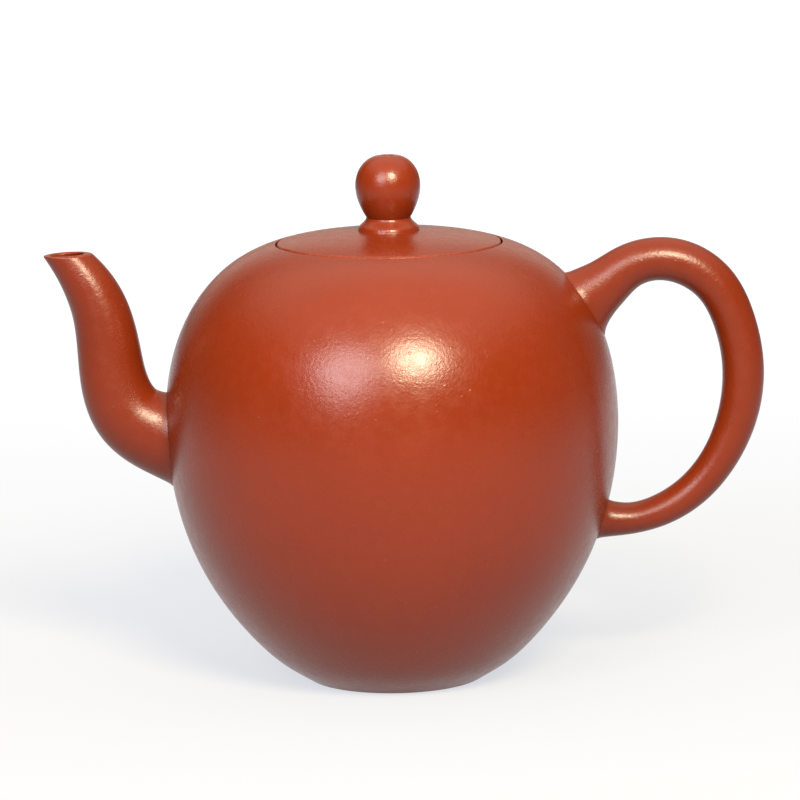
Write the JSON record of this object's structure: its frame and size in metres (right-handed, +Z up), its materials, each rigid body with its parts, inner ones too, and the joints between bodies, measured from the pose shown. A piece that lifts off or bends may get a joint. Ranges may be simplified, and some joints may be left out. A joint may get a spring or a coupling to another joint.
{
  "type": "teapot",
  "caption": "Egg-shaped red clay teapot with a flush domed lid, ball knob, S-curved spout, inner strainer and round ear handle, for brewing and pouring tea.",
  "frame": {"origin": "on the pot's axis, on the plane that the foot ring stands on", "axes": "+Z up along the pot's axis, the spout points along -X, the handle stands out along +X, and the XZ plane halves the spout and handle"},
  "size_m": [0.1397, 0.088, 0.1025],
  "materials": {
    "burnished_clay": "burnished unglazed red clay, satin",
    "plain_clay": "unburnished red clay, matt"
  },
  "bodies": {
    "pot": {"body_wall": "burnished_clay", "shoulder_disc": "burnished_clay", "mouth_collar": "plain_clay", "base_disc": "plain_clay", "foot_ring": "burnished_clay", "spout": "burnished_clay", "ball_filter": "plain_clay", "handle": "burnished_clay"},
    "lid_rim": {"lid_flange": "plain_clay"},
    "lid": {"lid_plate": "burnished_clay", "knob_collar": "burnished_clay", "knob": "burnished_clay"}
  },
  "joints": [
    {"name": "lid_lift", "type": "slide", "parent": "pot", "child": "lid_rim", "axis": [0, 0, 1], "range_m": [0, 0.06]},
    {"name": "lid_turn", "type": "hinge", "parent": "lid_rim", "child": "lid", "pos_m": [0, 0, 0.084], "axis": [0, 0, 1], "continuous": true}
  ]
}
